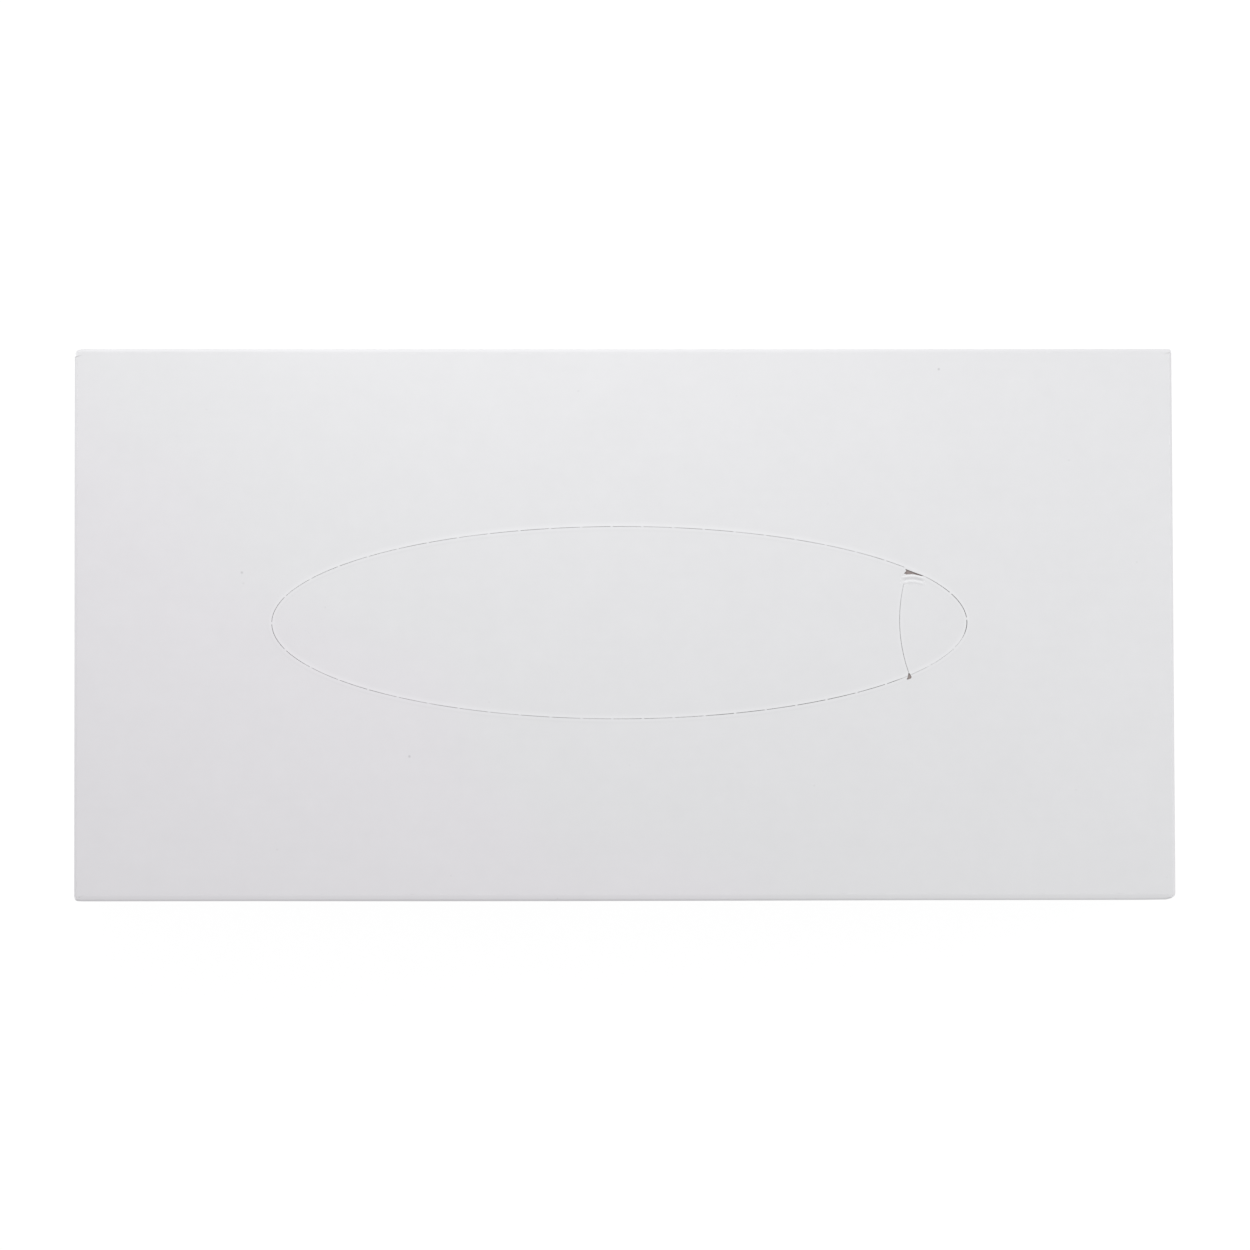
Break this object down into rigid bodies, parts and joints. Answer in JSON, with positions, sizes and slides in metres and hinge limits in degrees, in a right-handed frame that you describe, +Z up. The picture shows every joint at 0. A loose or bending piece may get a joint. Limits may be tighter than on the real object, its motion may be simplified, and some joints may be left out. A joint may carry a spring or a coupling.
{
  "type": "tissue box",
  "caption": "Flat white folding-board tissue box, glued shut, with a perforated oval and finger tab in its top panel.",
  "frame": {"origin": "middle of the base, on the surface that the box stands on", "axes": "+X along the length towards the finger tab, +Y towards the back panel with the glued seam, +Z up"},
  "size_m": [0.23, 0.1156, 0.05],
  "materials": {
    "coated_board": "matt white coated folding boxboard"
  },
  "bodies": {
    "root": {"tissue_carton": "coated_board"}
  },
  "joints": []
}
